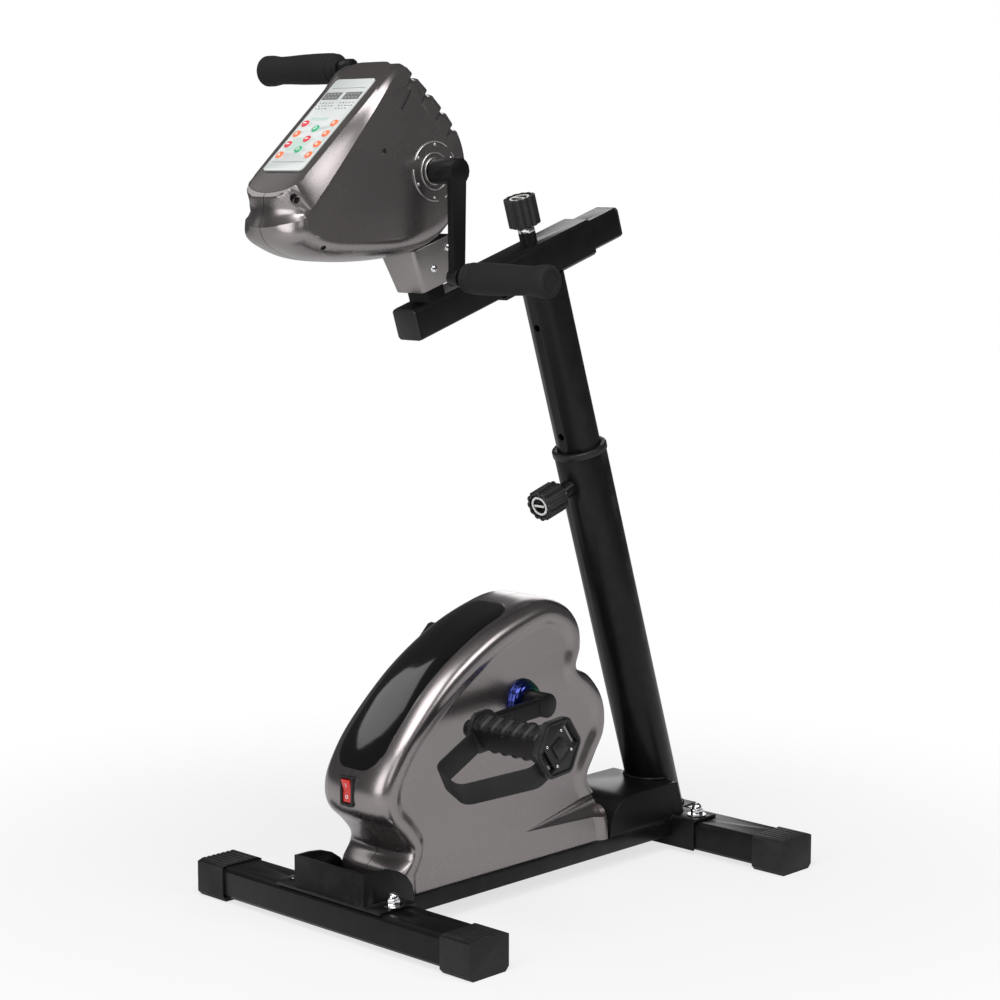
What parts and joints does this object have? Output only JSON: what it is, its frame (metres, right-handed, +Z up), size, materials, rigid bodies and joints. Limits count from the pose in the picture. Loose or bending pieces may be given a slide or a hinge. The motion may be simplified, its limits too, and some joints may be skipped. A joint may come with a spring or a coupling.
{
  "type": "electric rehabilitation mini bike",
  "caption": "Floor-standing motorised pedal exerciser: foot cranks with strapped pedals in a low housing, and a hand-crank head with a sloping keypad on a telescopic mast.",
  "frame": {"origin": "on the floor, midway between the nose of the head and the back edge of the mast's foot plate, on the middle plane", "axes": "+Z up; -Y towards the user; +X to the right as the user faces the machine from behind the head, which is the side of the lowered hand grip"},
  "size_m": [0.422, 0.644, 0.913],
  "materials": {
    "black_paint": "satin black powder coat",
    "silver_shell": "silver-grey metallic moulding, satin",
    "gloss_black": "high gloss",
    "dark_console": "dark brown-grey, semi-gloss",
    "black_rubber": "matte",
    "black_plastic": "satin",
    "grip_foam": "matte soft grip",
    "chrome": "bright plated",
    "steel": "bare ground steel",
    "blue_dome": "blue-tinted bright plating",
    "white_panel": "white membrane, semi-gloss",
    "key_red": "satin",
    "key_orange": "satin",
    "key_green": "satin",
    "switch_red": "gloss",
    "cast_metal": "cast"
  },
  "bodies": {
    "base": {"front_stabiliser": "black_paint", "rear_stabiliser": "black_paint", "cap_front_right": "black_rubber", "cap_front_left": "black_rubber", "cap_rear_right": "black_rubber", "cap_rear_left": "black_rubber", "bolt_front_right": "chrome", "bolt_front_left": "chrome", "bolt_rear_right": "chrome", "bolt_rear_left": "chrome", "base_rail": "black_paint", "front_bracket": "black_paint", "mast_foot": "black_paint", "outer_mast": "black_paint", "mast_collar": "black_plastic", "housing_right": "silver_shell", "housing_left": "silver_shell", "housing_top_cover": "gloss_black", "switch_bezel": "black_plastic", "hub_dome_right": "blue_dome", "hub_dome_left": "blue_dome", "lower_gearmotor": "cast_metal"},
    "switch_rocker": {"power_switch": "switch_red"},
    "lower_crank": {"lower_axle": "steel", "lower_arm_right": "black_paint", "lower_arm_left": "black_paint"},
    "right_pedal": {"pedal_right": "black_plastic", "pedal_strap_right": "black_rubber"},
    "left_pedal": {"pedal_left": "black_plastic", "pedal_strap_left": "black_rubber"},
    "upper_mast": {"inner_mast": "black_paint"},
    "reach_bar": {"slide_bar": "black_paint", "bar_cap_front": "black_plastic", "bar_cap_rear": "black_plastic", "neck_cover": "silver_shell", "head_shell_right": "silver_shell", "head_shell_left": "silver_shell", "head_console": "dark_console", "key_panel": "white_panel", "head_gearmotor": "cast_metal"},
    "upper_crank": {"upper_axle": "steel", "upper_arm_right": "black_paint", "upper_arm_left": "black_paint"},
    "right_grip": {"grip_right": "grip_foam"},
    "left_grip": {"grip_left": "grip_foam"},
    "height_barrel": {"height_lock_barrel": "chrome"},
    "height_knob": {"height_lock_knob": "black_plastic"},
    "reach_barrel": {"reach_lock_barrel": "chrome"},
    "reach_knob": {"reach_lock_knob": "black_plastic"},
    "key_left_1_cap": {"key_left_1": "key_red"},
    "key_left_2_cap": {"key_left_2": "key_orange"},
    "key_left_3_cap": {"key_left_3": "key_red"},
    "key_left_4_cap": {"key_left_4": "key_orange"},
    "key_middle_1_cap": {"key_middle_1": "key_green"},
    "key_middle_2_cap": {"key_middle_2": "key_red"},
    "key_middle_3_cap": {"key_middle_3": "key_green"},
    "key_right_1_cap": {"key_right_1": "key_orange"},
    "key_right_2_cap": {"key_right_2": "key_orange"},
    "key_right_3_cap": {"key_right_3": "key_orange"},
    "key_right_4_cap": {"key_right_4": "key_orange"}
  },
  "joints": [
    {"name": "lower_crank_spin", "type": "hinge", "parent": "base", "child": "lower_crank", "pos_m": [0, 0.00399, 0.219], "axis": [1, 0, 0], "continuous": true},
    {"name": "right_pedal_spin", "type": "hinge", "parent": "lower_crank", "child": "right_pedal", "pos_m": [0.147, -0.10573, 0.21114], "axis": [1, 0, 0], "continuous": true},
    {"name": "left_pedal_spin", "type": "hinge", "parent": "lower_crank", "child": "left_pedal", "pos_m": [-0.147, 0.1137, 0.22686], "axis": [1, 0, 0], "continuous": true},
    {"name": "height_slide", "type": "slide", "parent": "base", "child": "upper_mast", "axis": [0, -0.309, 0.9511], "range_m": [-0.19, 0]},
    {"name": "reach_slide", "type": "slide", "parent": "upper_mast", "child": "reach_bar", "axis": [0, 0.9511, 0.309], "range_m": [-0.05, 0.05]},
    {"name": "upper_crank_spin", "type": "hinge", "parent": "reach_bar", "child": "upper_crank", "pos_m": [0, -0.12939, 0.78949], "axis": [1, 0, 0], "continuous": true},
    {"name": "right_grip_spin", "type": "hinge", "parent": "upper_crank", "child": "right_grip", "pos_m": [0.1515, -0.12939, 0.68249], "axis": [1, 0, 0], "continuous": true},
    {"name": "left_grip_spin", "type": "hinge", "parent": "upper_crank", "child": "left_grip", "pos_m": [-0.1515, -0.12939, 0.89649], "axis": [1, 0, 0], "continuous": true},
    {"name": "height_lock_turn", "type": "hinge", "parent": "base", "child": "height_barrel", "pos_m": [0, 0.12883, 0.43582], "axis": [0, -0.9511, -0.309], "range_deg": [0, 360]},
    {"name": "height_lock_pull", "type": "slide", "parent": "height_barrel", "child": "height_knob", "axis": [0, -0.9511, -0.309], "range_m": [0, 0.01], "stiffness_N_per_m": 500, "springref_m": -0.006},
    {"name": "reach_lock_turn", "type": "hinge", "parent": "upper_mast", "child": "reach_barrel", "pos_m": [0, 0.06212, 0.71234], "axis": [0, -0.309, 0.9511], "range_deg": [0, 360]},
    {"name": "reach_lock_pull", "type": "slide", "parent": "reach_barrel", "child": "reach_knob", "axis": [0, -0.309, 0.9511], "range_m": [0, 0.01], "stiffness_N_per_m": 500, "springref_m": -0.006},
    {"name": "power_switch_rock", "type": "hinge", "parent": "base", "child": "switch_rocker", "pos_m": [0, -0.21001, 0.15], "axis": [1, 0, 0], "range_deg": [-13, 0]},
    {"name": "key_left_1_press", "type": "slide", "parent": "reach_bar", "child": "key_left_1_cap", "axis": [0, 0.6704, -0.742], "range_m": [0, 0.0004], "stiffness_N_per_m": 800},
    {"name": "key_left_2_press", "type": "slide", "parent": "reach_bar", "child": "key_left_2_cap", "axis": [0, 0.6704, -0.742], "range_m": [0, 0.0004], "stiffness_N_per_m": 800},
    {"name": "key_left_3_press", "type": "slide", "parent": "reach_bar", "child": "key_left_3_cap", "axis": [0, 0.6704, -0.742], "range_m": [0, 0.0004], "stiffness_N_per_m": 800},
    {"name": "key_left_4_press", "type": "slide", "parent": "reach_bar", "child": "key_left_4_cap", "axis": [0, 0.6704, -0.742], "range_m": [0, 0.0004], "stiffness_N_per_m": 800},
    {"name": "key_middle_1_press", "type": "slide", "parent": "reach_bar", "child": "key_middle_1_cap", "axis": [0, 0.6704, -0.742], "range_m": [0, 0.0004], "stiffness_N_per_m": 800},
    {"name": "key_middle_2_press", "type": "slide", "parent": "reach_bar", "child": "key_middle_2_cap", "axis": [0, 0.6704, -0.742], "range_m": [0, 0.0004], "stiffness_N_per_m": 800},
    {"name": "key_middle_3_press", "type": "slide", "parent": "reach_bar", "child": "key_middle_3_cap", "axis": [0, 0.6704, -0.742], "range_m": [0, 0.0004], "stiffness_N_per_m": 800},
    {"name": "key_right_1_press", "type": "slide", "parent": "reach_bar", "child": "key_right_1_cap", "axis": [0, 0.6704, -0.742], "range_m": [0, 0.0004], "stiffness_N_per_m": 800},
    {"name": "key_right_2_press", "type": "slide", "parent": "reach_bar", "child": "key_right_2_cap", "axis": [0, 0.6704, -0.742], "range_m": [0, 0.0004], "stiffness_N_per_m": 800},
    {"name": "key_right_3_press", "type": "slide", "parent": "reach_bar", "child": "key_right_3_cap", "axis": [0, 0.6704, -0.742], "range_m": [0, 0.0004], "stiffness_N_per_m": 800},
    {"name": "key_right_4_press", "type": "slide", "parent": "reach_bar", "child": "key_right_4_cap", "axis": [0, 0.6704, -0.742], "range_m": [0, 0.0004], "stiffness_N_per_m": 800}
  ]
}
